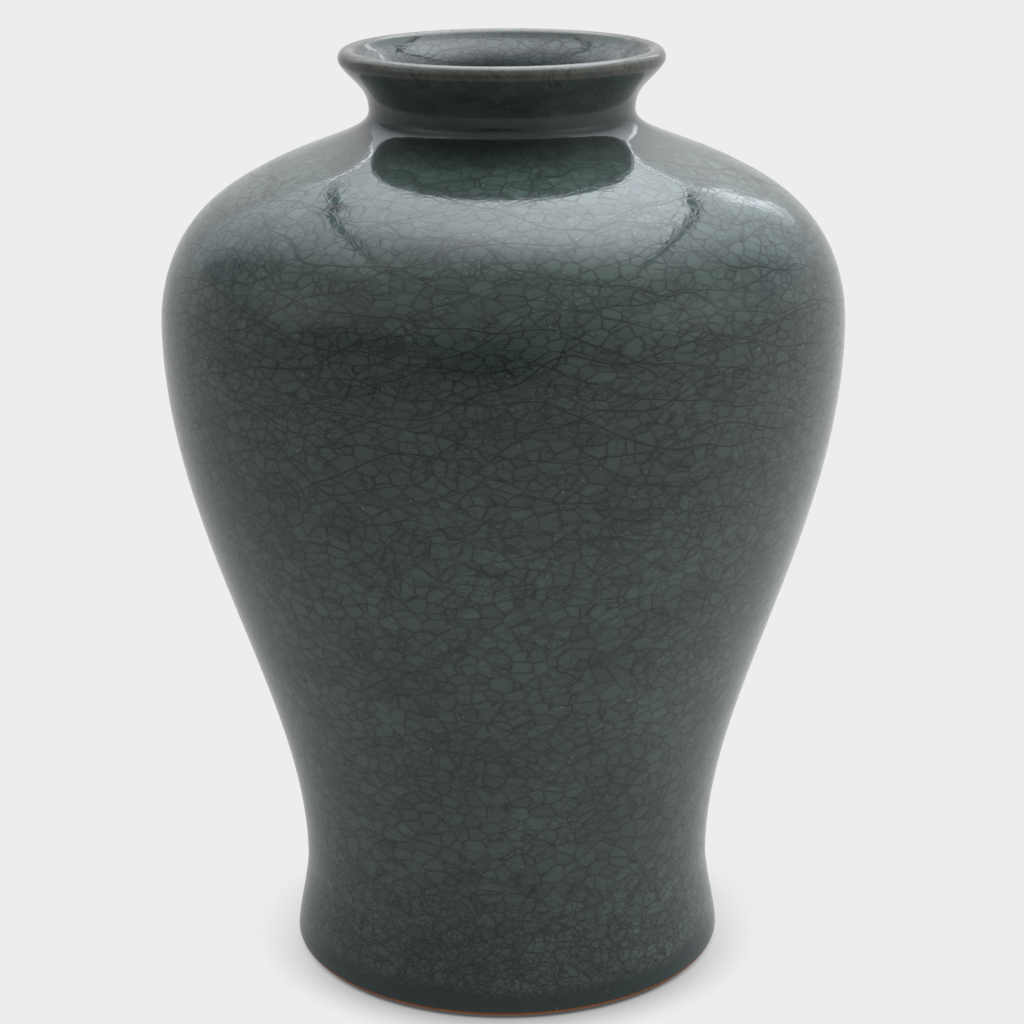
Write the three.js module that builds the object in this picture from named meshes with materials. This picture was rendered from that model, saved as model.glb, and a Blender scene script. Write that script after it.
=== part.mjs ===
// A crackle-glazed vase: wide round shoulder, waisted foot, short flared neck with a rolled lip.
//
// It is built as a potter builds a vase of this size: a foot ring with a base disc dropped into it,
// three thrown body sections and a neck, joined by stepped laps that are luted with clay slip,
// then coated with glaze outside, over the lip, inside and under the foot.
// Every piece is a ring about the Z axis. Millimetres, +Z up, origin on the ground at the axis.
import * as THREE from "three";

// Driving dimensions of the outside
const HEIGHT = 350;
const MAX_RADIUS = 127.6;
const WIDEST_AT = 248.3;
const WAIST_RADIUS = 79.2;
const WAIST_AT = 33.9;
const NECK_RADIUS = 49;
const NECK_AT = 327.5;
const MOUTH_RADIUS = 59.9;
const SHOULDER = new THREE.Vector2(92.1, 304.1); // where the shoulder turns into the neck's cove
const SHOULDER_SLOPE = THREE.MathUtils.degToRad(29);

// Foot
const GLAZE_EDGE = new THREE.Vector2(83.7, 2.4); // the glaze stops this far above the ground
const FOOT_RADIUS = 78.8; // outer edge of the face it stands on
const RECESS_RADIUS = 65;
const BASE_DISC_RADIUS = 68.5;
const BASE_DISC_BOTTOM = 8;
const BASE_DISC_TOP = 15.5;

// Wall
const WALL_AT_FOOT = 13;
const LIP_THICKNESS = 7;
const LIP_TILT = THREE.MathUtils.degToRad(35); // how far the wall leans out where it meets the lip
const BODY_GLAZE = 1.2;
const THIN_GLAZE = 0.8; // over the lip, inside and under the foot
const LIP_GLAZE_BAND = 3; // width of the thin glaze below the lip on each side
const GAP = 0.3;

// Joints between the thrown sections, by distance along the outside from the edge of the glaze
const FOOT_SEAM = 12;
const WAIST_SEAM = 132;
const BELLY_SEAM = 264;
const NECK_SEAM = 357; // on the shoulder, outside the cove at the root of the neck
const LAP = 5; // height of the step in each lap
const SLIP = 1.4; // thickness of the luting slip

// Facets
const FACETS = 24; // around the axis
const CURVE_STEPS = [3, 6, 8, 9, 4]; // along each of the five curves of the outside
const LIP_STEPS = 6;
const CLEAR = 1; // a ring closer than this to the end of a layer is left out

const LIP_RADIUS = LIP_THICKNESS / 2;
const LIP_CENTRE = new THREE.Vector2(MOUTH_RADIUS - LIP_RADIUS, HEIGHT - LIP_RADIUS);

function polar(centre, radius, angle) {
  return new THREE.Vector2(
    centre.x + radius * Math.cos(angle),
    centre.y + radius * Math.sin(angle),
  );
}

// The outside, from the edge of the glaze at the foot up to where the lip starts.
// Each curve is drawn to its end point, with one handle near each end.
function outsideCurve() {
  const path = new THREE.Path();
  const lipStart = polar(LIP_CENTRE, LIP_RADIUS, -LIP_TILT);
  const inward = polar(SHOULDER, 22.8, Math.PI - SHOULDER_SLOPE);
  const outward = polar(SHOULDER, 9.1, -SHOULDER_SLOPE);
  const underLip = polar(lipStart, 7.6, -Math.PI / 2 - LIP_TILT);
  path.moveTo(GLAZE_EDGE.x, GLAZE_EDGE.y);
  path.bezierCurveTo(GLAZE_EDGE.x, 7.6, WAIST_RADIUS, 24, WAIST_RADIUS, WAIST_AT);
  path.bezierCurveTo(WAIST_RADIUS, 103.5, MAX_RADIUS, 169.7, MAX_RADIUS, WIDEST_AT);
  path.bezierCurveTo(MAX_RADIUS, 287.4, outward.x, outward.y, SHOULDER.x, SHOULDER.y);
  path.bezierCurveTo(inward.x, inward.y, NECK_RADIUS, 318.5, NECK_RADIUS, NECK_AT);
  path.bezierCurveTo(NECK_RADIUS, 336.4, underLip.x, underLip.y, lipStart.x, lipStart.y);
  return path;
}

const outside = outsideCurve();
const LENGTH = outside.getLength();

// A section's inner face starts this far above the middle of the seam below it.
const sectionStart = (seam) => seam + LAP / 2 + SLIP + 2 * GAP;

// Distances along the outside where every layer of the wall has a ring of corners.
// They are even in each curve's own parameter, so they are closer where the handles are short.
function wallStations() {
  const curveEnds = outside.getCurveLengths();
  const partsPerStep = 40;
  return outside.curves.flatMap((curve, i) => {
    const start = i === 0 ? 0 : curveEnds[i - 1];
    const lengths = curve.getLengths(CURVE_STEPS[i] * partsPerStep);
    const ends = lengths.filter((_, part) => part > 0 && part % partsPerStep === 0);
    return ends.map((length) => start + length);
  });
}

const stations = wallStations();

// Depths below the outside surface, at a distance along it
const wall = (along) => THREE.MathUtils.lerp(WALL_AT_FOOT, LIP_THICKNESS, along / LENGTH);
const surface = () => 0;
const glazeBack = () => BODY_GLAZE;
const clayOuter = () => BODY_GLAZE + GAP;
const clayInner = (along) => wall(along) - THIN_GLAZE - GAP;
const linerBack = (along) => wall(along) - THIN_GLAZE;
const lapFace = (along) => (clayOuter() + clayInner(along)) / 2 + (SLIP + 2 * GAP) / 2;
const lapCover = (along) => lapFace(along) - SLIP - 2 * GAP;

// A point inside the wall: so far along the outside, and so deep under it.
function wallPoint(along, depth) {
  const point = outside.getPoint(along / LENGTH);
  const tangent = outside.getTangent(along / LENGTH);
  return new THREE.Vector2(point.x - depth * tangent.y, point.y + depth * tangent.x);
}

// Points at one layer of the wall, from one distance along it to another, either way.
function layer(from, to, depth) {
  const low = Math.min(from, to);
  const high = Math.max(from, to);
  const between = stations.filter((along) => along > low + CLEAR && along < high - CLEAR);
  if (from > to) between.reverse();
  return [from, ...between, to].map((along) => wallPoint(along, depth(along)));
}

// An arc of the lip's round, turning from the outside over the top to the inside.
function lipArc(radius, backwards = false) {
  const points = [];
  for (let step = 0; step <= LIP_STEPS; step += 1) {
    points.push(polar(LIP_CENTRE, radius, -LIP_TILT + (Math.PI * step) / LIP_STEPS));
  }
  return backwards ? points.reverse() : points;
}

// Spins a closed outline, drawn anticlockwise in radius and height, about the Z axis.
function turned(name, outline, material) {
  const closed = [...outline, outline[0].clone()];
  const geometry = new THREE.LatheGeometry(closed, FACETS);
  geometry.rotateX(Math.PI / 2);
  const mesh = new THREE.Mesh(geometry, material);
  mesh.name = name;
  return mesh;
}

const corner = (radius, height) => new THREE.Vector2(radius, height);

// The stepped top of a section: its inner half stands up behind the outer half of the next one.
function tongue(seam) {
  return [
    wallPoint(seam - LAP / 2, lapFace(seam)),
    wallPoint(seam + LAP / 2, lapFace(seam)),
  ];
}

// The stepped bottom of a section, which hangs down outside the tongue below it.
function skirt(seam) {
  const clearance = SLIP + 2 * GAP;
  return [
    wallPoint(seam + LAP / 2 + clearance, lapCover(seam)),
    wallPoint(seam - LAP / 2 + clearance, lapCover(seam)),
  ];
}

// A thrown section of the body between two seams
function section(name, lowerSeam, upperSeam, material) {
  const bottom = lowerSeam - LAP / 2 + SLIP + 2 * GAP;
  const outline = [
    ...layer(bottom, upperSeam - LAP / 2, clayOuter),
    ...tongue(upperSeam),
    ...layer(upperSeam + LAP / 2, sectionStart(lowerSeam), clayInner),
    ...skirt(lowerSeam),
  ];
  return turned(name, outline, material);
}

// The luting slip that fills a stepped lap from the outside of the clay to the inside
function slipSeam(name, seam, material) {
  const low = seam - LAP / 2 + GAP;
  const high = seam + LAP / 2 + GAP;
  const face = lapFace(seam) - GAP;
  const cover = lapCover(seam) + GAP;
  const outline = [
    wallPoint(low, clayOuter()),
    wallPoint(low + SLIP, clayOuter()),
    wallPoint(low + SLIP, cover),
    wallPoint(high + SLIP, cover),
    wallPoint(high + SLIP, clayInner(seam)),
    wallPoint(high, clayInner(seam)),
    wallPoint(high, face),
    wallPoint(low, face),
  ];
  return turned(name, outline, material);
}

function footRing(material) {
  const outline = [
    corner(RECESS_RADIUS, 0),
    corner(FOOT_RADIUS, 0),
    ...layer(0, FOOT_SEAM - LAP / 2, clayOuter),
    ...tongue(FOOT_SEAM),
    wallPoint(FOOT_SEAM + LAP / 2, clayInner(FOOT_SEAM)),
    corner(BASE_DISC_RADIUS + GAP, BASE_DISC_BOTTOM - GAP),
    corner(RECESS_RADIUS, BASE_DISC_BOTTOM - GAP),
  ];
  return turned("foot_ring", outline, material);
}

// A disc that drops onto the ledge inside the foot ring and closes the bottom
function baseDisc(material) {
  const outline = [
    corner(0, BASE_DISC_BOTTOM),
    corner(BASE_DISC_RADIUS, BASE_DISC_BOTTOM),
    corner(BASE_DISC_RADIUS, BASE_DISC_TOP),
    corner(0, BASE_DISC_TOP),
  ];
  return turned("base_disc", outline, material);
}

// The neck, with the solid round of the lip at its top
function neck(material) {
  const bottom = NECK_SEAM - LAP / 2 + SLIP + 2 * GAP;
  const outline = [
    ...layer(bottom, LENGTH - LIP_GLAZE_BAND, clayOuter),
    ...lipArc(LIP_RADIUS - THIN_GLAZE - GAP),
    ...layer(LENGTH - LIP_GLAZE_BAND, sectionStart(NECK_SEAM), clayInner),
    ...skirt(NECK_SEAM),
  ];
  return turned("neck_and_lip", outline, material);
}

function bodyGlaze(material) {
  const top = LENGTH - LIP_GLAZE_BAND;
  return turned("body_glaze", [...layer(0, top, surface), ...layer(top, 0, glazeBack)], material);
}

// The glaze that runs thin over the lip and a little way down both sides
function lipGlaze(material) {
  const edge = LENGTH - LIP_GLAZE_BAND + GAP;
  const outline = [
    ...layer(edge, LENGTH - GAP, surface),
    ...lipArc(LIP_RADIUS),
    ...layer(LENGTH - GAP, edge, wall),
    ...layer(edge, LENGTH - GAP, linerBack),
    ...lipArc(LIP_RADIUS - THIN_GLAZE, true),
    ...layer(LENGTH - GAP, edge, () => THIN_GLAZE),
  ];
  return turned("lip_glaze", outline, material);
}

// The glaze that lines the inside, from the floor up to the thin glaze of the lip
function interiorGlaze(material) {
  const top = LENGTH - LIP_GLAZE_BAND;
  const bottom = sectionStart(FOOT_SEAM);
  const back = BASE_DISC_TOP + GAP;
  const floor = back + THIN_GLAZE;
  const cornerRadius = BASE_DISC_RADIUS - 2 * GAP;
  const outline = [
    corner(0, back),
    corner(cornerRadius, back),
    ...layer(bottom, top, linerBack),
    ...layer(top, bottom, wall),
    corner(cornerRadius - THIN_GLAZE, floor),
    corner(0, floor),
  ];
  return turned("interior_glaze", outline, material);
}

// The glaze in the recess under the foot
function recessGlaze(material) {
  const ceiling = BASE_DISC_BOTTOM - GAP;
  const radius = RECESS_RADIUS - GAP;
  const edge = 1.6;
  const outline = [
    corner(0, ceiling - THIN_GLAZE),
    corner(radius - THIN_GLAZE, ceiling - THIN_GLAZE),
    corner(radius - THIN_GLAZE, edge),
    corner(radius, edge),
    corner(radius, ceiling),
    corner(0, ceiling),
  ];
  return turned("recess_glaze", outline, material);
}

function finish(color, roughness) {
  return new THREE.MeshStandardMaterial({ color, roughness, metalness: 0 });
}

const footClay = finish(0x7a4426, 0.8);
const clay = finish(0x9c8f80, 0.85);
const slip = finish(0x6f6257, 0.9);
const crackleGlaze = finish(0x3f4f49, 0.12);
const oliveGlaze = finish(0x6d6c62, 0.18);
const liner = finish(0x5f6e6c, 0.15);

const vase = new THREE.Group();
vase.add(
  footRing(footClay),
  baseDisc(clay),
  section("lower_section", FOOT_SEAM, WAIST_SEAM, clay),
  section("belly_section", WAIST_SEAM, BELLY_SEAM, clay),
  section("shoulder_section", BELLY_SEAM, NECK_SEAM, clay),
  neck(clay),
  slipSeam("foot_seam_slip", FOOT_SEAM, slip),
  slipSeam("waist_seam_slip", WAIST_SEAM, slip),
  slipSeam("belly_seam_slip", BELLY_SEAM, slip),
  slipSeam("neck_seam_slip", NECK_SEAM, slip),
  bodyGlaze(crackleGlaze),
  lipGlaze(oliveGlaze),
  interiorGlaze(liner),
  recessGlaze(liner),
);

export default vase;
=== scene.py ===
"""Looks for a crackle-glazed celadon vase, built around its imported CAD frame.

Metres, +Z up, -Y towards the viewer. The clay sections and the slip between them stay as the frame
has them. The glaze coats and the foot ring, which are what shows, are rebuilt here with a fine mesh
on the same outline: the body's glaze in strips side by side, and the rest as whole rings.
"""
import math

import bpy
import numpy as np
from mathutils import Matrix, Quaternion, Vector, noise

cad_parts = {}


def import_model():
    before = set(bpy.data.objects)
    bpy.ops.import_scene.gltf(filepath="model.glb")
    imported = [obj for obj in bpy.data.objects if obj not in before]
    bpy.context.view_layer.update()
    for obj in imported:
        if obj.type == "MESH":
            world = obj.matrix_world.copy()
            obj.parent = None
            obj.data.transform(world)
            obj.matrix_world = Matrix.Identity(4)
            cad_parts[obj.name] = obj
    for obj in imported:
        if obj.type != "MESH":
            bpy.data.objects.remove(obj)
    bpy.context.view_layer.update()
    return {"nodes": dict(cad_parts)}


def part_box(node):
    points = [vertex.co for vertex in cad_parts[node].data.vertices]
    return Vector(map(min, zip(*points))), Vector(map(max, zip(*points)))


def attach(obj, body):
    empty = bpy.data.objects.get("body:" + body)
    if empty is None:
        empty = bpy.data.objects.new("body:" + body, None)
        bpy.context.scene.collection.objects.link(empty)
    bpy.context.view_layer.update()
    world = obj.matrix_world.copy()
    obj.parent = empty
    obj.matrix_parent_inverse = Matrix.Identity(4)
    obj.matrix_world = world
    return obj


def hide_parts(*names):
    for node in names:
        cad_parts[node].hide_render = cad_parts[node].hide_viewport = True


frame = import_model()

MM = 0.001
ROOT = "root"

# The outside, as in the CAD outline: radius, height
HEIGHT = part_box("lip_glaze")[1].z
MOUTH_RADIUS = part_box("lip_glaze")[1].x
MAX_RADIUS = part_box("body_glaze")[1].x
GLAZE_EDGE = (83.7 * MM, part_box("body_glaze")[0].z)
WIDEST_AT = 248.3 * MM
WAIST = (79.2 * MM, 33.9 * MM)
NECK = (49 * MM, 327.5 * MM)
SHOULDER = (92.1 * MM, 304.1 * MM)
SHOULDER_SLOPE = math.radians(29)
LIP_RADIUS = 3.5 * MM
LIP_TILT = math.radians(35)
LIP_CENTRE = (MOUTH_RADIUS - LIP_RADIUS, HEIGHT - LIP_RADIUS)

# The curves' handles: heights, and lengths where the curve slants
FOOT_HANDLE = 7.6 * MM
WAIST_HANDLES = (24 * MM, 103.5 * MM)
WIDEST_HANDLES = (169.7 * MM, 287.4 * MM)
SHOULDER_HANDLE_LENGTHS = (9.1 * MM, 22.8 * MM)
NECK_HANDLES = (318.5 * MM, 336.4 * MM)
LIP_HANDLE_LENGTH = 7.6 * MM

# Foot
FOOT_RADIUS = 78.8 * MM
RECESS_RADIUS = 65 * MM
LEDGE_RADIUS = 68.8 * MM
BASE_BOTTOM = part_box("base_disc")[0].z
FLOOR_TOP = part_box("interior_glaze")[0].z
FLOOR_RADIUS = 67.9 * MM

# Wall and glaze
WALL_AT_FOOT = 13 * MM
WALL_AT_LIP = 2 * LIP_RADIUS
BODY_GLAZE = 1.2 * MM
THIN_GLAZE = 0.8 * MM
LIP_GLAZE_BAND = 3 * MM
GAP = 0.3 * MM

# Joint at the foot
SEAM_LOW = 9.5 * MM
SEAM_HIGH = 14.5 * MM
LAP_DEPTH = 8.3 * MM

# Fine mesh
COLUMNS = 288
STRIPS = 8
ROW_STEP = 1.6 * MM
SHARP_ANGLE = math.radians(50)

# Marks of throwing: dents and rings outside, which fade out below the lip, and ripples inside
DENT_DEPTH = 0.08 * MM
DENTS_FADE = 20 * MM
DENTS_PER_METRE = 22
RINGS_PER_METRE = 90
RING_WAVES = 6
RIPPLE_DEPTH = 0.35 * MM


# ---------------------------------------------------------------- outline
def polar(centre, radius, angle):
    return (centre[0] + radius * math.cos(angle), centre[1] + radius * math.sin(angle))


def bezier(start, first, second, end, steps):
    """Points along a cubic curve, without its start."""
    t = np.linspace(0, 1, steps + 1)[1:, None]
    corners = [np.array(p) for p in (start, first, second, end)]
    weights = ((1 - t) ** 3, 3 * (1 - t) ** 2 * t, 3 * (1 - t) * t ** 2, t ** 3)
    return sum(weight * corner for weight, corner in zip(weights, corners))


def outside_points():
    """The outside from the edge of the glaze at the foot up to where the lip starts."""
    lip_start = polar(LIP_CENTRE, LIP_RADIUS, -LIP_TILT)
    outward = polar(SHOULDER, SHOULDER_HANDLE_LENGTHS[0], -SHOULDER_SLOPE)
    inward = polar(SHOULDER, SHOULDER_HANDLE_LENGTHS[1], math.pi - SHOULDER_SLOPE)
    under_lip = polar(lip_start, LIP_HANDLE_LENGTH, -math.pi / 2 - LIP_TILT)
    widest = (MAX_RADIUS, WIDEST_AT)
    curves = [
        (GLAZE_EDGE, (GLAZE_EDGE[0], FOOT_HANDLE), (WAIST[0], WAIST_HANDLES[0]), WAIST),
        (WAIST, (WAIST[0], WAIST_HANDLES[1]), (MAX_RADIUS, WIDEST_HANDLES[0]), widest),
        (widest, (MAX_RADIUS, WIDEST_HANDLES[1]), outward, SHOULDER),
        (SHOULDER, inward, (NECK[0], NECK_HANDLES[0]), NECK),
        (NECK, (NECK[0], NECK_HANDLES[1]), under_lip, lip_start),
    ]
    return np.vstack([[GLAZE_EDGE]] + [bezier(*curve, steps=400) for curve in curves])


OUTSIDE = outside_points()
ALONG = np.r_[0, np.cumsum(np.linalg.norm(np.diff(OUTSIDE, axis=0), axis=1))]
LENGTH = ALONG[-1]
TANGENT = np.gradient(OUTSIDE, ALONG, axis=0)


def wall_points(along, depth):
    """Points inside the wall: so far along the outside, and so deep under it."""
    point = np.column_stack([np.interp(along, ALONG, OUTSIDE[:, k]) for k in (0, 1)])
    way = np.column_stack([np.interp(along, ALONG, TANGENT[:, k]) for k in (0, 1)])
    way /= np.linalg.norm(way, axis=1)[:, None]
    inward = np.column_stack([-way[:, 1], way[:, 0]])
    return point + inward * np.broadcast_to(depth, len(point))[:, None]


def steps_along(start, end):
    """Distances along the outside, about a row of the mesh apart."""
    return np.linspace(start, end, int(abs(end - start) / ROW_STEP) + 2)


def wall(along):
    """How thick the wall is, so far along the outside."""
    return np.interp(along, [0, LENGTH], [WALL_AT_FOOT, WALL_AT_LIP])


def arc(centre, radius, start, end, steps):
    return np.array([polar(centre, radius, a) for a in np.linspace(start, end, steps + 1)])


# ---------------------------------------------------------------- meshes
def spun(rows, dents=0.0):
    """Every outline point spun round the axis, as rows by columns of positions. The last column is
    the first one again."""
    turns = np.arange(COLUMNS + 1) * 2 * math.pi / COLUMNS
    ring = np.stack([np.sin(turns), -np.cos(turns)], axis=1)
    grid = np.empty((len(rows), COLUMNS + 1, 3))
    for i, (radius, height) in enumerate(rows):
        grid[i, :, :2] = ring * radius
        grid[i, :, 2] = height
    grid[:, -1] = grid[:, 0]
    if dents:
        hand_made(grid, dents)
    return grid


def hand_made(grid, depth):
    """Slight dents and throwing rings, always inwards, so that the frame's box still holds. They die
    out towards the lip."""
    for i in range(grid.shape[0]):
        for j in range(COLUMNS):
            x, y, z = grid[i, j]
            broad = noise.noise(Vector((x, y, z)) * DENTS_PER_METRE)
            rings = noise.noise(Vector((x * RING_WAVES, y * RING_WAVES, z * RINGS_PER_METRE)))
            inwards = depth * (1 - 0.6 * broad - 0.12 * rings) / 2
            inwards *= min(1, (HEIGHT - z) / DENTS_FADE)
            radius = math.hypot(x, y)
            grid[i, j, :2] *= 1 - inwards / radius
    grid[:, -1] = grid[:, 0]


def grid_normals(grid):
    """The direction across each point of the grid, from its neighbours."""
    closed = np.concatenate([grid[:, -2:-1], grid, grid[:, 1:2]], axis=1)
    around = closed[:, 2:] - closed[:, :-2]
    up = np.gradient(grid, axis=0)
    across = np.cross(around, up)
    return across / np.maximum(np.linalg.norm(across, axis=2), 1e-12)[:, :, None]


def piece(name, positions, faces, material, normals=None):
    """A mesh object at the origin, smooth-shaded, with its material. Without normals of its own, it
    gets sharp edges where its faces meet at an angle."""
    mesh = bpy.data.meshes.new(name)
    mesh.from_pydata(positions.tolist(), [], faces)
    mesh.validate()
    mesh.polygons.foreach_set("use_smooth", [True] * len(mesh.polygons))
    if normals is None:
        mesh.set_sharp_from_angle(angle=SHARP_ANGLE)
    else:
        mesh.normals_split_custom_set_from_vertices(normals.tolist())
    mesh.materials.append(material)
    made = bpy.data.objects.new(name, mesh)
    bpy.context.scene.collection.objects.link(made)
    return made


def wall_faces(rows, columns):
    """Quads of a closed coat: the front grid, the back grid and the two rims."""
    width = columns + 1
    back = rows * width
    faces = []
    for i in range(rows - 1):
        for j in range(columns):
            a = i * width + j
            faces.append((a, a + 1, a + 1 + width, a + width))
            faces.append((back + a, back + a + width, back + a + width + 1, back + a + 1))
    for j in range(columns):
        top = (rows - 1) * width + j
        faces.append((j, back + j, back + j + 1, j + 1))
        faces.append((top, top + 1, back + top + 1, back + top))
    return faces


def side_faces(rows, columns):
    """The two edges where a strip was cut from the ring."""
    width = columns + 1
    back = rows * width
    faces = []
    for i in range(rows - 1):
        left = i * width
        right = left + columns
        faces.append((left, left + width, back + left + width, back + left))
        faces.append((right, back + right, back + right + width, right + width))
    return faces


def strip(name, front, back, normals, first, last, material):
    """A strip of a coat, between two columns of its grids."""
    cut = slice(first, last + 1)
    columns = last - first
    rows = len(front)
    positions = np.concatenate([front[:, cut].reshape(-1, 3), back[:, cut].reshape(-1, 3)])
    shading = np.concatenate([normals[:, cut].reshape(-1, 3), -normals[:, cut].reshape(-1, 3)])
    faces = wall_faces(rows, columns) + side_faces(rows, columns)
    return piece(name, positions, faces, material, shading)


def ring(name, outline, material):
    """A closed outline spun into a solid ring, or into a disc where it starts and ends on the axis."""
    on_axis = outline[0][0] == 0
    grid = spun(outline[1:-1] if on_axis else outline)[:, :-1]
    rows = len(grid)
    positions = grid.reshape(-1, 3)
    faces = []
    for i in range(rows - 1 if on_axis else rows):
        low = i * COLUMNS
        high = (i + 1) % rows * COLUMNS
        for j in range(COLUMNS):
            k = (j + 1) % COLUMNS
            faces.append((low + j, low + k, high + k, high + j))
    if on_axis:
        first, last = len(positions), len(positions) + 1
        positions = np.vstack([positions, [0, 0, outline[0][1]], [0, 0, outline[-1][1]]])
        top = (rows - 1) * COLUMNS
        for j in range(COLUMNS):
            k = (j + 1) % COLUMNS
            faces.append((first, k, j))
            faces.append((last, top + j, top + k))
    return piece(name, positions, faces, material)


# ---------------------------------------------------------------- node helpers
def plug(tree, socket, value):
    """Gives a socket a link or a fixed value."""
    if isinstance(value, bpy.types.NodeSocket):
        tree.links.new(value, socket)
    else:
        socket.default_value = value


def node(tree, kind, inputs=None, **settings):
    """A shader node with its settings, and a link or a value on each of the inputs given."""
    made = tree.nodes.new("ShaderNode" + kind)
    for key, value in settings.items():
        setattr(made, key, value)
    for key, value in (inputs or {}).items():
        plug(tree, made.inputs[key], value)
    return made


def calc(tree, operation, *values):
    """One step of arithmetic on numbers."""
    made = node(tree, "Math", operation=operation)
    for socket, value in zip(made.inputs, values):
        plug(tree, socket, value)
    return made.outputs[0]


def vector_calc(tree, operation, *values):
    """One step of arithmetic on vectors."""
    made = node(tree, "VectorMath", operation=operation)
    for socket, value in zip([s for s in made.inputs if s.enabled], values):
        plug(tree, socket, value)
    return made.outputs[0]


def ramp_value(tree, value, low, high, to_low=0.0, to_high=1.0):
    """A smooth step of a value from one range to another."""
    made = node(tree, "MapRange", {"Value": value, "From Min": low, "From Max": high,
                                   "To Min": to_low, "To Max": to_high},
                interpolation_type="SMOOTHSTEP")
    return made.outputs[0]


def mix(tree, factor, first, second, blend="MIX"):
    """A colour mix."""
    made = node(tree, "Mix", data_type="RGBA", blend_type=blend)
    plug(tree, made.inputs[0], factor)
    plug(tree, made.inputs[6], first)
    plug(tree, made.inputs[7], second)
    return made.outputs[2]


def times(tree, colour, other):
    """One colour multiplied by another."""
    return mix(tree, 1.0, colour, other, "MULTIPLY")


def dot(tree, vector, other):
    return node(tree, "VectorMath", {0: vector, 1: other}, operation="DOT_PRODUCT").outputs["Value"]


def vector_length(tree, vector):
    return node(tree, "VectorMath", {0: vector}, operation="LENGTH").outputs["Value"]


def object_place(tree):
    return node(tree, "TexCoord").outputs["Object"]


def height_of(tree, place):
    return node(tree, "SeparateXYZ", {0: place}).outputs[2]


def noise_value(tree, place, size, detail=2.0, roughness=0.5, colour=False):
    """Smooth noise whose lumps are about size metres across."""
    made = node(tree, "TexNoise", {"Vector": place, "Scale": 1 / size, "Detail": detail,
                                   "Roughness": roughness})
    return made.outputs[1 if colour else 0]


def patches(tree, place, size, low, high, to_low=0.0, to_high=1.0, detail=2.0):
    """Smooth patches about size metres across, from one value to another."""
    return ramp_value(tree, noise_value(tree, place, size, detail), low, high, to_low, to_high)


def new_material(name, colour, roughness):
    """A node material with its Principled shader, which keeps plain values where nothing is linked."""
    material = bpy.data.materials.new(name)
    material.use_nodes = True
    shader = material.node_tree.nodes["Principled BSDF"]
    shader.inputs["Base Color"].default_value = (*colour, 1)
    shader.inputs["Roughness"].default_value = roughness
    material.diffuse_color = (*colour, 1)
    return material, material.node_tree, shader


# ---------------------------------------------------------------- crackle
# Sizes of the cells, and widths of the lines and of the stain beside them
NET_CELL = 6.3 * MM
FINE_CELL = 3.4 * MM
NET_LINE = 0.42 * MM
FINE_LINE = 0.36 * MM
LONG_LINE = 0.40 * MM
STAIN_WIDTH = 1.5 * MM

# Two families of long cracks: the direction that each lies across, and how far apart they are
RISING = ((0.22, 0.10, 1.0), 13 * MM)
FALLING = ((-0.26, 0.22, 1.0), 16 * MM)
LONG_BEND = 30 * MM

# Heights between which the crackle changes
FINE_CRACKS_CLOSE = (25 * MM, 75 * MM)
LONG_CRACKS_SHOW = (120 * MM, 240 * MM)
CRACKS_DARKEN = (180 * MM, 270 * MM)
CELLS_FLATTEN = 235 * MM
NECK_CLEARS = (306 * MM, 322 * MM)


def warped(tree, place, size, amount):
    """The place pushed about by smooth noise, so that straight cracks bend."""
    push = vector_calc(tree, "SUBTRACT", noise_value(tree, place, size, colour=True), (0.5, 0.5, 0.5))
    scaled = node(tree, "VectorMath", {0: push, 3: amount}, operation="SCALE").outputs[0]
    return vector_calc(tree, "ADD", place, scaled)


def cracks(tree, place, cell):
    """One generation of cracks: metres to the nearest one, and a random colour for each cell."""
    settings = {"Vector": place, "Scale": 1 / cell, "Randomness": 1.0}
    edge = node(tree, "TexVoronoi", settings, feature="DISTANCE_TO_EDGE").outputs["Distance"]
    colour = node(tree, "TexVoronoi", settings, feature="F1").outputs["Color"]
    return calc(tree, "MULTIPLY", edge, cell), colour


def shifted(tree, place, cell_colour):
    """Moves each cell's pattern somewhere else, so that younger cracks stop at the older ones."""
    jump = node(tree, "VectorMath", {0: cell_colour, 3: 3.0}, operation="SCALE").outputs[0]
    return vector_calc(tree, "ADD", place, jump)


def line(tree, distance, width):
    """1 on a crack and 0 beyond its width."""
    return ramp_value(tree, distance, 0.0, width, 1.0, 0.0)


def long_cracks(tree, place, across, apart):
    """Metres to the nearest of a family of long cracks, which lie across a direction and wander."""
    wander = noise_value(tree, vector_calc(tree, "ADD", place, across), 45 * MM, detail=1.0)
    level = calc(tree, "MULTIPLY_ADD", wander, LONG_BEND, dot(tree, place, across))
    return calc(tree, "PINGPONG", level, apart / 2)


def flattened(tree, place, height):
    """The place stretched upwards, and more so on the shoulder, so that the cells lie flatter."""
    on_shoulder = calc(tree, "MAXIMUM", calc(tree, "SUBTRACT", height, CELLS_FLATTEN), 0.0)
    more = node(tree, "CombineXYZ", {2: calc(tree, "MULTIPLY", on_shoulder, 0.5)}).outputs[0]
    return vector_calc(tree, "ADD", vector_calc(tree, "MULTIPLY", place, (1.0, 1.0, 1.3)), more)


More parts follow.
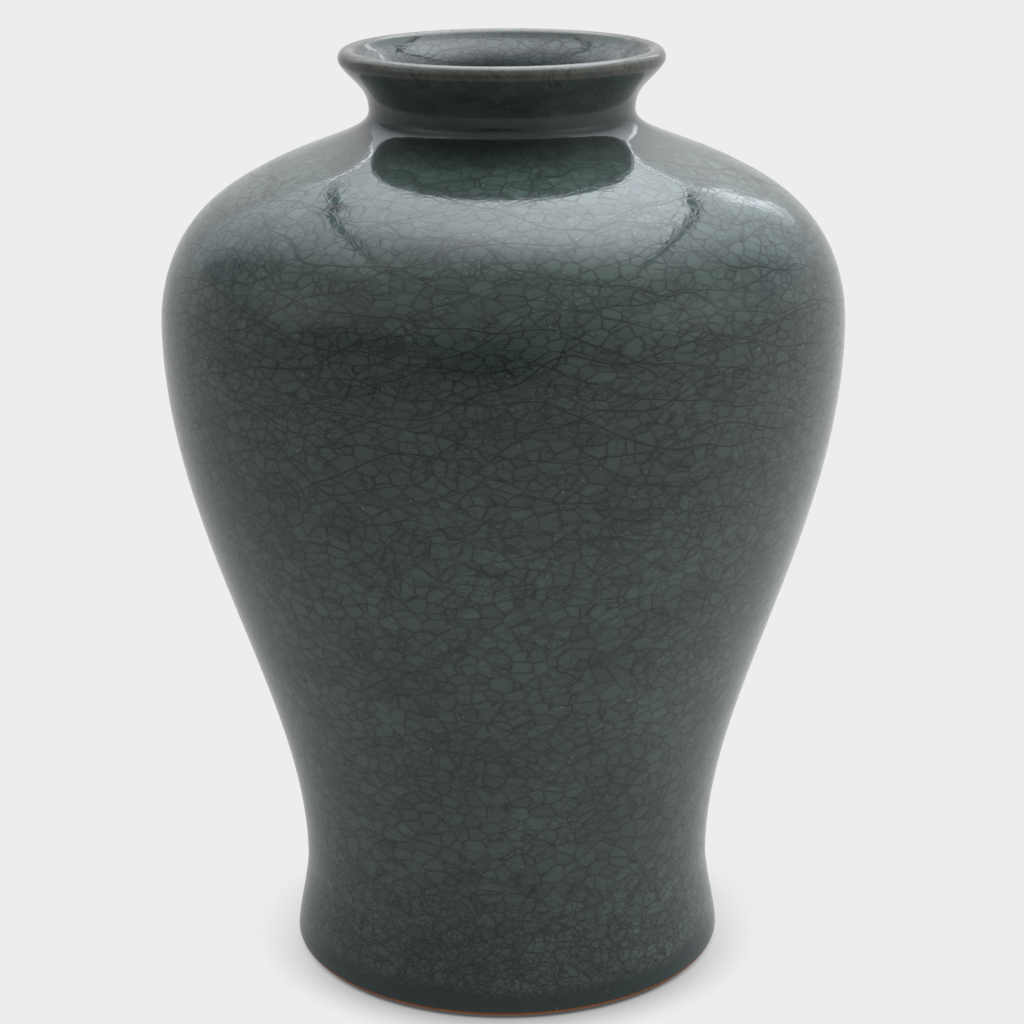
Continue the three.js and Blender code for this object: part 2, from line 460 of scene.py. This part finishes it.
def crackle(tree, place, size=1.0, on_neck=0.2):
    """Long cracks that run round the pot, a net of cells, and finer cracks that come and go inside
    the cells. Returns how dark the cracks are, their soft stain, and a random number for each cell."""
    height = height_of(tree, place)
    curved = warped(tree, flattened(tree, place, height), 35 * MM, 10 * MM)
    crooked = warped(tree, curved, 3.4 * MM * size, 1.5 * MM * size)
    net, cell_colour = cracks(tree, crooked, NET_CELL * size)
    fine, _ = cracks(tree, shifted(tree, crooked, cell_colour), FINE_CELL * size)
    shaky = warped(tree, place, 4 * MM, 0.8 * MM)
    nearest = calc(tree, "MINIMUM", long_cracks(tree, shaky, *RISING), long_cracks(tree, shaky, *FALLING))

    uneven = patches(tree, place, 5 * MM, 0.3, 0.62, 0.15, 1.0)
    comes_and_goes = patches(tree, place, 11 * MM, 0.4, 0.6, 0.0, 0.7)
    low = ramp_value(tree, height, *FINE_CRACKS_CLOSE, 1.0, 0.0)
    high = ramp_value(tree, height, *LONG_CRACKS_SHOW, 0.25, 1.0)
    fine_share = calc(tree, "MAXIMUM", comes_and_goes, low)
    net_line = calc(tree, "MULTIPLY", line(tree, net, NET_LINE), uneven)
    fine_line = calc(tree, "MULTIPLY", line(tree, fine, FINE_LINE), fine_share)
    long_line = calc(tree, "MULTIPLY", line(tree, nearest, LONG_LINE), high)
    dark = calc(tree, "MAXIMUM", net_line, calc(tree, "MAXIMUM", fine_line, long_line))

    fade = ramp_value(tree, height, *NECK_CLEARS, 1.0, on_neck)
    stain = calc(tree, "MULTIPLY", line(tree, net, STAIN_WIDTH), fade)
    cell = node(tree, "SeparateColor", {0: cell_colour}).outputs[0]
    return calc(tree, "MULTIPLY", dark, fade), stain, cell


def specks(tree, place, apart, radius):
    """1 in a few tiny specks, and 0 elsewhere."""
    spots = node(tree, "TexVoronoi", {"Vector": place, "Scale": 1 / apart}, feature="F1")
    away = calc(tree, "MULTIPLY", spots.outputs["Distance"], apart)
    chance = node(tree, "SeparateColor", {0: spots.outputs["Color"]}).outputs[1]
    return calc(tree, "MULTIPLY", line(tree, away, radius), calc(tree, "GREATER_THAN", chance, 0.35))


# ---------------------------------------------------------------- materials
OUTER = {"deep": (0.090, 0.128, 0.112), "pale": (0.118, 0.168, 0.146), "crack": (0.020, 0.022, 0.022)}
LINER = {"deep": (0.10, 0.115, 0.115), "pale": (0.14, 0.16, 0.16), "crack": (0.012, 0.015, 0.014)}
OLIVE_DEEP = (0.095, 0.095, 0.074, 1)
OLIVE_PALE = (0.155, 0.152, 0.118, 1)
POOLED = (0.028, 0.052, 0.050, 1)
# The pale specks are painted glints of light, not bubbles in the glaze
PAINTED_GLINT = (0.45, 0.48, 0.46, 1)
PIT = (0.012, 0.012, 0.012, 1)
THREAD = (0.03, 0.03, 0.026, 1)

# What the glaze's colour is multiplied by on the neck, and by painted shade deep inside and under the
# foot
NECK_TINT = (0.72, 0.66, 0.68, 1)
INSIDE_SHADE_TINT = (0.25, 0.36, 0.32, 1)

# Heights between which the glaze changes
POOL_TOP = (11 * MM, 17 * MM)
NECK_DARKENS = (312 * MM, 326 * MM)
# Inside, the painted shade fades out upwards between these heights
INSIDE_SHADE_FADES = (333 * MM, 347 * MM)
LIP_THINS = (HEIGHT - 5 * MM, HEIGHT - 1 * MM)


def glaze_colour(tree, place, deep, pale, crack, size=1.0, on_neck=0.2):
    """Mottled glaze, each crackle cell a little different, with stained cracks. Also returns how
    dark the cracks are and how near one is."""
    dark, stain, cell = crackle(tree, place, size, on_neck)
    shade = patches(tree, place, 45 * MM, 0.3, 0.7, detail=3.0)
    strength = ramp_value(tree, height_of(tree, place), *CRACKS_DARKEN, 0.72, 0.92)
    plain = mix(tree, shade, (*deep, 1), (*pale, 1))
    by_cell = mix(tree, cell, (0.86, 0.85, 0.86, 1), (1.14, 1.16, 1.14, 1))
    cells = times(tree, plain, by_cell)
    stained = mix(tree, calc(tree, "MULTIPLY", stain, 0.24), cells, (*crack, 1))
    return mix(tree, calc(tree, "MULTIPLY", dark, strength), stained, (*crack, 1)), dark, stain


def glaze_relief(tree, shader, place, dark, stain, gloss):
    """The slight orange peel of a fired glaze. Its cells are faintly domed, with the cracks sunk in
    and rougher."""
    plug(tree, shader.inputs["Roughness"], calc(tree, "MULTIPLY_ADD", dark, 0.16, gloss))
    orange_peel = noise_value(tree, place, 6 * MM)
    sunk = calc(tree, "ADD", calc(tree, "MULTIPLY", dark, 0.45), calc(tree, "MULTIPLY", stain, 0.22))
    relief = calc(tree, "SUBTRACT", orange_peel, sunk)
    bump = node(tree, "Bump", {"Height": relief, "Strength": 1.0, "Distance": 0.03 * MM})
    plug(tree, shader.inputs["Normal"], bump.outputs[0])


def thinned(tree, place, colour):
    """The thick glaze's colour, turning to thin olive glaze up on the lip, less far down inside."""
    ragged = calc(tree, "MULTIPLY", noise_value(tree, place, 3 * MM), 3 * MM)
    flat = vector_calc(tree, "MULTIPLY", place, (1.0, 1.0, 0.0))
    crest = LIP_CENTRE[0]
    inside = ramp_value(tree, vector_length(tree, flat), crest - 3 * MM, crest, 3.5 * MM, 0.0)
    level = calc(tree, "SUBTRACT", calc(tree, "ADD", height_of(tree, place), ragged), inside)
    thin = ramp_value(tree, level, *LIP_THINS)
    blotch = patches(tree, place, 5 * MM, 0.3, 0.7, detail=4.0)
    olive = mix(tree, blotch, OLIVE_DEEP, OLIVE_PALE)
    return mix(tree, calc(tree, "MULTIPLY", thin, 0.85), colour, olive)


def darker_neck(tree, place, colour):
    """The glaze on the neck is darker and less green."""
    up = ramp_value(tree, height_of(tree, place), *NECK_DARKENS)
    return mix(tree, up, colour, times(tree, colour, NECK_TINT))


def crackle_glaze():
    """Thick grey-green glaze outside, darker and smoother where it pools at the foot, with a few
    tiny pits, and pale specks painted in as glints of light."""
    material, tree, shader = new_material("crackle_glaze", (0.10, 0.137, 0.12), 0.05)
    place = object_place(tree)
    colour, dark, stain = glaze_colour(tree, place, **OUTER)
    wavy = calc(tree, "MULTIPLY", noise_value(tree, place, 20 * MM), 8 * MM)
    pooled = ramp_value(tree, calc(tree, "ADD", height_of(tree, place), wavy), *POOL_TOP, 0.9, 0.0)
    pooled_colour = mix(tree, pooled, colour, POOLED)
    # Pale specks painted in as tiny glints of light
    glinted = mix(tree, specks(tree, place, 6 * MM, 0.5 * MM), pooled_colour, PAINTED_GLINT)
    elsewhere = vector_calc(tree, "ADD", place, (0.5, 0.0, 0.0))
    pitted = mix(tree, specks(tree, elsewhere, 7 * MM, 0.7 * MM), glinted, PIT)
    plug(tree, shader.inputs["Base Color"], thinned(tree, place, darker_neck(tree, place, pitted)))
    glaze_relief(tree, shader, place, dark, stain, 0.05)
    return material


def lip_material():
    """The glaze that has run thin over the lip: olive, with fine dark threads."""
    material, tree, shader = new_material("thin_lip_glaze", (0.18, 0.18, 0.145), 0.08)
    place = object_place(tree)
    colour, dark, stain = glaze_colour(tree, place, **OUTER)
    upright = vector_calc(tree, "MULTIPLY", place, (1.0, 1.0, 0.35))
    threads, _ = cracks(tree, warped(tree, upright, 3 * MM, 1 * MM), 3.2 * MM)
    in_places = patches(tree, place, 14 * MM, 0.4, 0.65, 0.1, 0.65)
    thread = calc(tree, "MULTIPLY", line(tree, threads, 0.3 * MM), in_places)
    under = thinned(tree, place, darker_neck(tree, place, colour))
    plug(tree, shader.inputs["Base Color"], mix(tree, thread, under, THREAD))
    glaze_relief(tree, shader, place, dark, stain, 0.08)
    return material


def liner(name):
    """The thinner, bluer coat inside and under the foot, greener and darkened by painted shade further
    down.
    """
    material, tree, shader = new_material(name, (0.11, 0.13, 0.127), 0.06)
    place = object_place(tree)
    colour, dark, stain = glaze_colour(tree, place, **LINER, size=0.9, on_neck=1.0)
    # Painted shade: the colour darkens below the mouth, inside the pot and under the foot
    shaded_below = ramp_value(tree, height_of(tree, place), *INSIDE_SHADE_FADES, 1.0, 0.0)
    plug(tree, shader.inputs["Base Color"], mix(tree, shaded_below, colour, times(tree, colour, INSIDE_SHADE_TINT)))
    glaze_relief(tree, shader, place, dark, stain, 0.06)
    return material


def clay(name, colour, darker, grain):
    """Bare fired clay, matt and speckled."""
    material, tree, shader = new_material(name, colour, 0.8)
    place = object_place(tree)
    speckle = noise_value(tree, place, grain, detail=4.0, roughness=0.65)
    tone = mix(tree, ramp_value(tree, speckle, 0.35, 0.7), (*darker, 1), (*colour, 1))
    plug(tree, shader.inputs["Base Color"], tone)
    bump = node(tree, "Bump", {"Height": speckle, "Strength": 0.5, "Distance": 0.15 * MM})
    plug(tree, shader.inputs["Normal"], bump.outputs[0])
    return material


# ---------------------------------------------------------------- pieces
def stand_in(made, cad_name):
    """The piece takes the place of a CAD node."""
    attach(made, ROOT)
    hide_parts(cad_name)


def body_glaze():
    """The outer coat, in strips that share their edges and shading."""
    material = crackle_glaze()
    along = steps_along(0, LENGTH - LIP_GLAZE_BAND)
    front = spun(wall_points(along, 0), DENT_DEPTH)
    back = spun(wall_points(along, BODY_GLAZE))
    normals = grid_normals(front)
    width = COLUMNS // STRIPS
    for i in range(STRIPS):
        made = strip(f"body_glaze_{i + 1}", front, back, normals, i * width, (i + 1) * width, material)
        stand_in(made, "body_glaze")


def lip_glaze():
    """The thin coat over the lip and a little way down both sides."""
    up = steps_along(LENGTH - LIP_GLAZE_BAND, LENGTH)[:-1]
    over = arc(LIP_CENTRE, LIP_RADIUS, -LIP_TILT, math.pi - LIP_TILT, 40)
    under = arc(LIP_CENTRE, LIP_RADIUS - THIN_GLAZE, math.pi - LIP_TILT, -LIP_TILT, 30)
    outline = np.vstack([
        wall_points(up, 0),
        over,
        wall_points(up[::-1], wall(up[::-1])),
        wall_points(up, wall(up) - THIN_GLAZE),
        under,
        wall_points(up[::-1], THIN_GLAZE),
    ])
    stand_in(ring("lip_glaze_fine", outline, lip_material()), "lip_glaze")


def interior_glaze():
    """The coat inside, with the throwing rings left by the fingers below the neck. Its hidden back
    has a row for every four in front."""
    above_floor = 16 * MM
    neck_length = 75 * MM
    down = steps_along(above_floor, LENGTH - LIP_GLAZE_BAND)[::-1]
    up = np.r_[down[::-4], down[0]]
    rings = np.sin(down / (2.1 * MM)) + 0.6 * np.sin(down / (3.7 * MM))
    below_neck = np.clip((LENGTH - neck_length - down) / (40 * MM), 0, 1)
    inner = wall(down) + RIPPLE_DEPTH * below_neck * (1 + rings / 1.6)
    floor = FLOOR_TOP + THIN_GLAZE
    bend = 4 * MM
    bend_centre = (FLOOR_RADIUS - THIN_GLAZE - bend, floor + bend)
    outline = np.vstack([
        [(0, FLOOR_TOP)],
        [(FLOOR_RADIUS, FLOOR_TOP)],
        wall_points(up, wall(up) - THIN_GLAZE),
        wall_points(down, inner),
        arc(bend_centre, bend, 0, -math.pi / 2, 8),
        [(0, floor)],
    ])
    made = ring("interior_glaze_fine", outline, liner("interior_glaze"))
    stand_in(made, "interior_glaze")


def recess_glaze():
    """The coat under the foot, thicker in the corner of the recess."""
    radius = RECESS_RADIUS - GAP
    ceiling = BASE_BOTTOM - GAP
    low, high = 1.6 * MM, ceiling - THIN_GLAZE
    bend = 2 * MM
    inner = radius - THIN_GLAZE
    outline = np.vstack([
        [(0, high)],
        arc((inner - bend, high - bend), bend, math.pi / 2, 0, 8),
        [(inner, low), (radius, low), (radius, ceiling), (0, ceiling)],
    ])
    made = ring("recess_glaze_fine", outline, liner("recess_glaze"))
    stand_in(made, "recess_glaze")


def foot_ring():
    """The bare ring it stands on. Below the glaze's edge it comes out flush, and rounds under."""
    behind = BODY_GLAZE + GAP
    bare_top = (GLAZE_EDGE[0] - 0.2 * MM, GLAZE_EDGE[1] - 0.1 * MM)
    outer = steps_along(0, SEAM_LOW)
    seam = np.array([SEAM_LOW, SEAM_HIGH])
    inner = wall(seam[1]) - THIN_GLAZE - GAP
    edge = 0.9 * MM
    ledge = BASE_BOTTOM - GAP
    outline = np.vstack([
        arc((RECESS_RADIUS + edge, edge), edge, math.pi, 1.5 * math.pi, 6),
        bezier((RECESS_RADIUS + 2 * edge, 0), (FOOT_RADIUS, 0), (GLAZE_EDGE[0], 0), bare_top, 24),
        [(GLAZE_EDGE[0] - behind, bare_top[1])],
        wall_points(outer[1:], behind),
        wall_points(seam, LAP_DEPTH),
        wall_points(seam[1:], inner),
        [(LEDGE_RADIUS, ledge), (RECESS_RADIUS, ledge)],
    ])
    material = clay("foot_clay", (0.44, 0.14, 0.032), (0.28, 0.085, 0.022), 1.2 * MM)
    stand_in(ring("foot_ring_fine", outline, material), "foot_ring")


def clay_sections():
    """The CAD pieces behind the glaze keep their shapes."""
    body_clay = clay("clay_body", (0.42, 0.36, 0.29), (0.30, 0.25, 0.20), 2 * MM)
    slip_clay = clay("luting_slip", (0.30, 0.24, 0.19), (0.22, 0.17, 0.13), 1.5 * MM)
    for name, cad_node in frame["nodes"].items():
        cad_node.data.materials.clear()
        cad_node.data.materials.append(slip_clay if name.endswith("_slip") else body_clay)


body_glaze()
lip_glaze()
interior_glaze()
recess_glaze()
foot_ring()
clay_sections()


# ---------------------------------------------------------------- studio
CAMERA_PLACE = Vector((0, -0.9552, 0.4669))
CAMERA_TARGET = Vector((0.0028, 0, 0.1723))
CAMERA_ROLL = math.radians(-0.321)
CAMERA_LENS = 91.34
SENSOR = 36

# Light: the pale surround that the camera sees, and the tints of what the glaze mirrors
PALE = 0.847
CARD_TINT = (0.95, 1.0, 1.07, 1)
ROOM_TINT = (1.0, 0.99, 1.015, 1)
GLOW_TINT = (0.92, 1.0, 0.97, 1)

# The mirrored room's walls, low and high: the side they are lighter on, by how much, and from what
LOW_WALLS = ((0.45, 0.8, 0), 0.25, 0.49)
HIGH_WALLS = ((0.5, 0.87, 0), 1.15, -0.10)

# The cards: heights, and corners seen from above, where -y is towards the viewer
CARD_HEIGHT = 0.9
GAP_HEIGHT = CARD_HEIGHT + 5 * MM
GLOW_HEIGHT = CARD_HEIGHT - 10 * MM
MIRRORED_FLOOR_HEIGHT = -1 * MM
FLOOR_REACH = 12
OVERHEAD = [(-0.348, -0.6), (0.41, -0.6), (0.41, 0.75), (-0.348, 0.78)]
LEFT_PANEL = [(-0.378, -0.8), (-0.378, 0.79), (-0.55, 0.92), (-2.6, 3.4), (-2.6, -0.8)]
RIGHT_PANEL = [(0.445, -0.8), (2.6, -0.8), (2.6, 3.6), (0.48, 0.78), (0.445, 0.75)]
BACK_STRIP = [(-0.36, 0.80), (0.45, 0.765), (0.45, 0.795), (-0.36, 0.83), (-0.55, 0.955), (-0.55, 0.93)]
BACK_WEDGE = [(0.45, 0.765), (0.48, 0.79), (1.6, 2.28), (1.2, 2.35), (0.55, 1.0), (0.45, 0.795)]

# The overhead softbox's light: its brightest place and how far it spreads there, right and back
BRIGHTEST = 4.8
BRIGHTEST_AT = (0.12, 0.28)
SPREAD = (0.38, 0.56)


def camera():
    """A fixed camera, turned slightly about its own view."""
    data = bpy.data.cameras.new("camera")
    data.lens = CAMERA_LENS
    data.sensor_width = SENSOR
    made = bpy.data.objects.new("camera", data)
    bpy.context.scene.collection.objects.link(made)
    made.location = CAMERA_PLACE
    level = (CAMERA_TARGET - CAMERA_PLACE).to_track_quat("-Z", "Y")
    made.rotation_mode = "QUATERNION"
    made.rotation_quaternion = level @ Quaternion((0, 0, 1), CAMERA_ROLL)
    bpy.context.scene.camera = made


def leaning(tree, way, towards, by, base):
    """Brightness that rises towards one side."""
    return calc(tree, "MULTIPLY_ADD", dot(tree, way, towards), by, base)


def world():
    """A pale surround to the eye. What the glaze mirrors is a dim room: lighter to the right and
    behind, and darkest in front, where someone stands at the camera."""
    made = bpy.data.worlds.new("studio")
    bpy.context.scene.world = made
    made.use_nodes = True
    tree = made.node_tree
    tree.nodes.clear()
    way = node(tree, "TexCoord").outputs["Generated"]
    x, y, z = node(tree, "SeparateXYZ", {0: way}).outputs
    low = leaning(tree, way, *LOW_WALLS)
    high = leaning(tree, way, *HIGH_WALLS)
    room = calc(tree, "MULTIPLY_ADD", ramp_value(tree, z, 0.1, 0.6), high, low)
    beside = calc(tree, "ABSOLUTE", calc(tree, "ADD", x, 0.04))
    narrow = ramp_value(tree, beside, 0.10, 0.42, 0.9, 0.0)
    in_front = ramp_value(tree, y, -0.75, -0.5, 1.0, 0.0)
    left_by_watcher = calc(tree, "SUBTRACT", 1.0, calc(tree, "MULTIPLY", narrow, in_front))
    shaded = calc(tree, "MULTIPLY", calc(tree, "MAXIMUM", room, 0.01), left_by_watcher)
    grey = node(tree, "CombineColor", {0: shaded, 1: shaded, 2: shaded}).outputs[0]
    tinted = times(tree, grey, ROOM_TINT)
    seen = node(tree, "LightPath").outputs["Is Camera Ray"]
    colour = mix(tree, seen, tinted, (PALE, PALE, PALE, 1))
    surface = node(tree, "Background", {"Color": colour, "Strength": 1.0})
    node(tree, "OutputWorld", {"Surface": surface.outputs[0]})


def plane(name, corners, height, material):
    """A flat piece of the studio, which isn't part of the vase."""
    mesh = bpy.data.meshes.new(name)
    mesh.from_pydata([(x, y, height) for x, y in corners], [], [tuple(range(len(corners)))])
    mesh.materials.append(material)
    made = bpy.data.objects.new(name, mesh)
    bpy.context.scene.collection.objects.link(made)
    return made


def rectangle(left, right, front, back):
    return [(left, front), (right, front), (right, back), (left, back)]


def square(reach):
    return rectangle(-reach, reach, -reach, reach)


def glowing(name, colour, strength, see_through=False):
    """A material that only gives off light. strength(tree, x, y) works it out over the surface. If it
    can be seen through, it adds its light to what is behind."""
    material = bpy.data.materials.new(name)
    material.use_nodes = True
    tree = material.node_tree
    tree.nodes.clear()
    x, y, _ = node(tree, "SeparateXYZ", {0: object_place(tree)}).outputs
    surface = node(tree, "Emission", {"Color": colour, "Strength": strength(tree, x, y)}).outputs[0]
    if see_through:
        clear = node(tree, "BsdfTransparent").outputs[0]
        surface = node(tree, "AddShader", {0: surface, 1: clear}).outputs[0]
    node(tree, "OutputMaterial", {"Surface": surface})
    return material


def light_table(tree, x, y):
    """Even, but for a tight shadow round the foot, deepest in front and least behind."""
    shadow_reach = 20 * MM
    open_sky = node(tree, "AmbientOcclusion", {"Distance": shadow_reach}, samples=24).outputs["AO"]
    flat = node(tree, "CombineXYZ", {0: x, 1: y}).outputs[0]
    out = calc(tree, "ADD", vector_length(tree, flat), MM)
    front = ramp_value(tree, calc(tree, "DIVIDE", y, out), -1.0, 0.1, 1.2, 0.42)
    shade = calc(tree, "MULTIPLY", calc(tree, "SUBTRACT", 1.0, open_sky), front)
    return calc(tree, "MULTIPLY", calc(tree, "MAXIMUM", calc(tree, "SUBTRACT", 1.0, shade), 0.1), PALE)


def floor():
    """The pale floor glows evenly, as a light table does. What lights the vase from below, and shows
    in it, is the card under the floor."""
    made = plane("floor", square(FLOOR_REACH), 0, glowing("floor", (1, 1, 1, 1), light_table))
    made.visible_glossy = False
    made.visible_diffuse = False
    made.visible_shadow = False


def card(name, corners, height, strength, colour=CARD_TINT, see_through=False):
    """A card that the glaze mirrors and that lights it, but that the camera doesn't see. One that can
    be seen through only shows in reflections."""
    made = plane(name, corners, height, glowing(name, colour, strength, see_through))
    made.visible_camera = False
    made.visible_shadow = False
    made.visible_diffuse = not see_through


def squared_distance(tree, value, middle):
    return calc(tree, "POWER", calc(tree, "ABSOLUTE", calc(tree, "SUBTRACT", value, middle)), 2.0)


def overhead(tree, x, y):
    """The main softbox: brightest a little right of the vase and behind it, and fading out towards
    the front. The fading starts further back at the sides."""
    off = squared_distance(tree, x, BRIGHTEST_AT[0])
    back = squared_distance(tree, y, BRIGHTEST_AT[1])
    off_share = calc(tree, "DIVIDE", off, SPREAD[0])
    spread = calc(tree, "ADD", off_share, calc(tree, "DIVIDE", back, SPREAD[1]))
    fall = calc(tree, "EXPONENT", calc(tree, "MULTIPLY", spread, -1.0))
    spot = calc(tree, "MULTIPLY", fall, BRIGHTEST)
    fade = node(tree, "MapRange", {
        "Value": y,
        "From Min": calc(tree, "SUBTRACT", -0.34, calc(tree, "MULTIPLY", off, 0.5)),
        "From Max": calc(tree, "ADD", 0.09, calc(tree, "MULTIPLY", off, 2.2)),
    }, interpolation_type="SMOOTHSTEP").outputs[0]
    return calc(tree, "MULTIPLY", spot, fade)


def side(tree, x, y, near, far, slope, start, room):
    """A side panel: dimmer further out, with a slanted front edge that fades out softly, and as bright
    as the room at its outer edge."""
    out = calc(tree, "ABSOLUTE", x)
    fall = calc(tree, "EXPONENT", calc(tree, "DIVIDE", calc(tree, "SUBTRACT", 0.5, out), 0.45))
    level = calc(tree, "MULTIPLY_ADD", fall, near - far, far)
    edge = calc(tree, "SUBTRACT", y, calc(tree, "MULTIPLY", out, slope))
    rim = ramp_value(tree, out, 0.4, 1.5, 0.0, room)
    faded = ramp_value(tree, edge, start - 0.35, start + 0.4)
    return calc(tree, "MAXIMUM", rim, calc(tree, "MULTIPLY", level, faded))


def left_side(tree, x, y):
    return side(tree, x, y, near=1.8, far=0.7, slope=1.0, start=-0.53, room=0.33)


def right_side(tree, x, y):
    return side(tree, x, y, near=2.15, far=0.8, slope=0.9, start=-0.58, room=0.65)


def no_light(tree, x, y):
    """The gaps between the softboxes."""
    return 0.0


def back_strip(tree, x, y):
    """The bright seam where the middle panel meets the backdrop."""
    return ramp_value(tree, x, -0.52, -0.36, 1.2, 5.0)


def back_wedge(tree, x, y):
    """The seam behind the right panel, which opens out and fades into the backdrop."""
    return ramp_value(tree, x, 0.44, 1.25, 4.0, 1.5)


def glow(tree, x, y):
    """The faint glow in front of the softboxes, and a little of it over them."""
    front = ramp_value(tree, y, -1.9, -0.5, 0.15, 0.62)
    back = ramp_value(tree, y, -0.35, 0.5, 1.0, 0.0)
    sides = ramp_value(tree, calc(tree, "ABSOLUTE", x), 0.9, 2.6, 1.0, 0.3)
    return calc(tree, "MULTIPLY", calc(tree, "MULTIPLY", front, back), sides)


def mirrored_floor(tree, x, y):
    """How bright the floor is in reflections: less on the left and in front, and near the foot."""
    flat = node(tree, "CombineXYZ", {0: x, 1: y}).outputs[0]
    size = vector_length(tree, flat)
    near = ramp_value(tree, size, 0.08, 0.45, -0.06, 0.0)
    middle = calc(tree, "EXPONENT", calc(tree, "DIVIDE", size, -1.2))
    level = calc(tree, "ADD", calc(tree, "MULTIPLY_ADD", middle, 0.09, 0.50), near)
    lean = calc(tree, "DIVIDE", dot(tree, flat, (0.15, 0.18, 0)), calc(tree, "ADD", size, 0.2))
    return calc(tree, "ADD", level, lean)


def studio():
    """Softboxes over the vase with dark gaps and bright seams between them, a floor, and a room."""
    floor()
    card("overhead", OVERHEAD, CARD_HEIGHT, overhead)
    card("left_panel", LEFT_PANEL, CARD_HEIGHT, left_side)
    card("right_panel", RIGHT_PANEL, CARD_HEIGHT, right_side)
    card("back_strip", BACK_STRIP, CARD_HEIGHT, back_strip)
    card("back_wedge", BACK_WEDGE, CARD_HEIGHT, back_wedge)
    card("left_gap", rectangle(-0.38, -0.345, -0.6, 0.66), GAP_HEIGHT, no_light)
    card("right_gap", rectangle(0.40, 0.447, -0.6, 0.66), GAP_HEIGHT, no_light)
    card("glow", rectangle(-3.4, 3.4, -2.8, 0.7), GLOW_HEIGHT, glow, GLOW_TINT, see_through=True)
    card("mirrored_floor", square(FLOOR_REACH), MIRRORED_FLOOR_HEIGHT, mirrored_floor, ROOM_TINT)
    world()
    camera()
    bpy.context.scene.view_settings.view_transform = "Standard"


studio()
